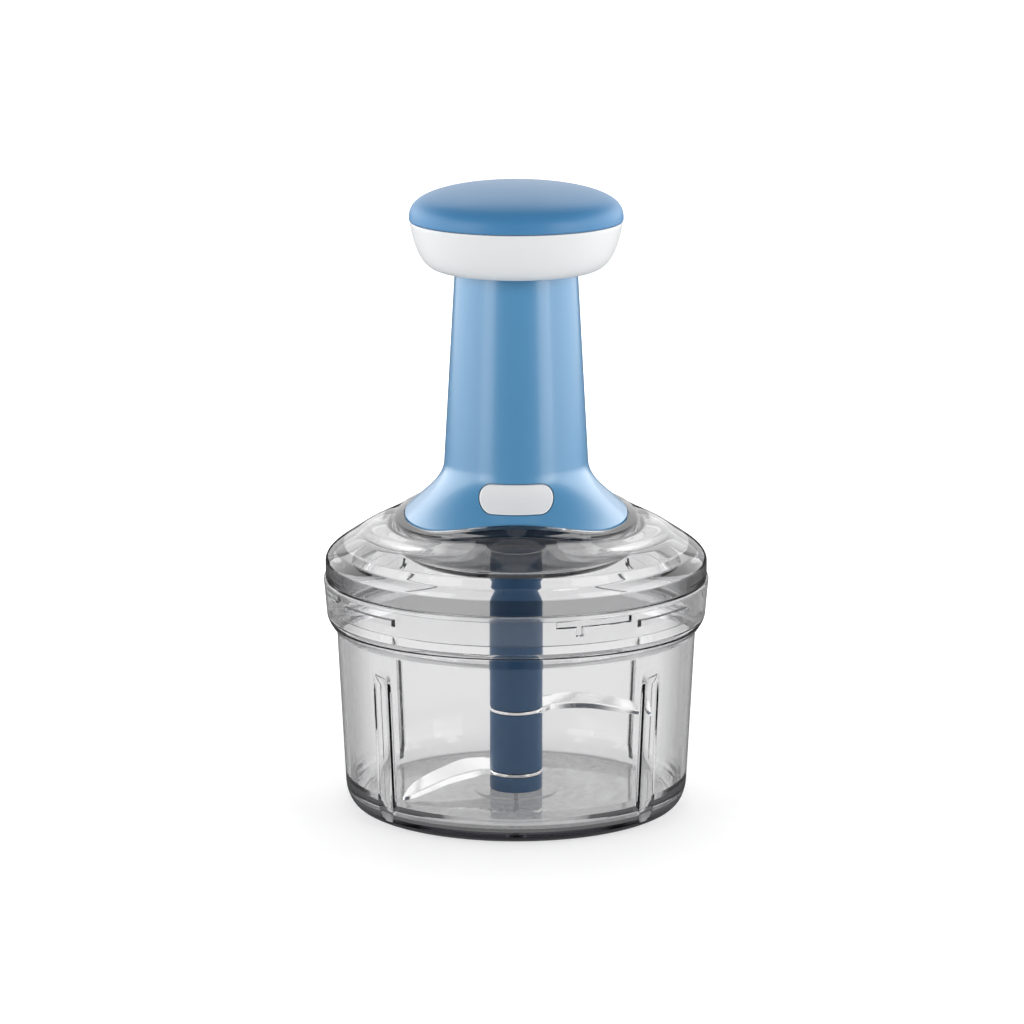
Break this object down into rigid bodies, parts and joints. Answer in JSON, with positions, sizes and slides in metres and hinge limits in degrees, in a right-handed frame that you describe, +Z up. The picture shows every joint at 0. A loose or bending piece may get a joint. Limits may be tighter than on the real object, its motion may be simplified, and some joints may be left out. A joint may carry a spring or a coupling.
{
  "type": "plunger food chopper",
  "caption": "Hand food chopper with a clear bowl and domed lid, whose press knob on a tall flared column spins two curved steel blades through a twisted spindle.",
  "frame": {"origin": "centre of the underside of the bowl", "axes": "+Z up along the axis of the knob, spindle and bowl; the lock button faces -Y; +X to the right of someone who faces the button"},
  "size_m": [0.15, 0.15, 0.2438],
  "materials": {
    "bowl_clear": "clear glossy moulded plastic with a faint smoky tint",
    "lid_clear": "clear glossy moulded plastic with a smoky grey tint",
    "sky_blue": "satin moulded plastic",
    "cap_blue": "soft-touch satin",
    "white": "semi-gloss moulded plastic",
    "navy": "semi-gloss moulded plastic",
    "acetal": "natural slippery plastic",
    "silicone": "matt translucent silicone",
    "steel": "plain zinc-bright steel",
    "blade_steel": "ground and polished stainless sheet"
  },
  "bodies": {
    "bowl": {"bowl": "bowl_clear", "pivot_pin": "steel"},
    "seal": {"lid_seal": "silicone"},
    "lid": {"lid": "lid_clear"},
    "handle": {"handle_housing": "sky_blue", "drive_base": "navy", "base_screw_1": "steel", "base_screw_2": "steel", "base_screw_3": "steel", "guide_bush": "acetal", "return_spring": "steel", "button_spring": "steel"},
    "knob": {"knob_cap": "cap_blue", "knob_shell": "white", "plunger_tube": "acetal", "drive_nut": "acetal", "knob_screw": "steel"},
    "spindle": {"spiral_spindle": "steel", "drive_socket": "navy", "socket_screw": "steel"},
    "button": {"lock_button": "white", "lock_catch": "acetal"},
    "blades": {"shaft_foot": "navy", "lower_blade": "blade_steel", "shaft_middle": "navy", "upper_blade": "blade_steel", "shaft_top": "navy", "shaft_core": "steel"}
  },
  "joints": [
    {"name": "lid_lift", "type": "slide", "parent": "bowl", "child": "seal", "axis": [0, 0, 1], "range_m": [0, 0.14]},
    {"name": "lid_turn", "type": "hinge", "parent": "seal", "child": "lid", "pos_m": [0, 0, 0.09], "axis": [0, 0, -1], "range_deg": [0, 20]},
    {"name": "handle_lift", "type": "slide", "parent": "lid", "child": "handle", "axis": [0, 0, 1], "range_m": [0, 0.05]},
    {"name": "knob_press", "type": "slide", "parent": "handle", "child": "knob", "axis": [0, 0, -1], "range_m": [0, 0.022], "stiffness_N_per_m": 400, "springref_m": -0.02, "deforming": ["return_spring"]},
    {"name": "spindle_spin", "type": "hinge", "parent": "handle", "child": "spindle", "pos_m": [0, 0, 0.112], "axis": [0, 0, 1], "range_deg": [0, 360.5]},
    {"name": "button_press", "type": "slide", "parent": "handle", "child": "button", "axis": [0, 1, 0], "range_m": [0, 0.0025], "stiffness_N_per_m": 500, "springref_m": -0.004, "deforming": ["button_spring"]},
    {"name": "blade_spin", "type": "hinge", "parent": "bowl", "child": "blades", "pos_m": [0, 0, 0.01], "axis": [0, 0, 1], "range_deg": [0, 360.5]}
  ],
  "couplings": [
    {"joint": "spindle_spin", "follows": "knob_press", "rad_per_m": 285.6},
    {"joint": "blade_spin", "follows": "knob_press", "rad_per_m": 285.6}
  ]
}
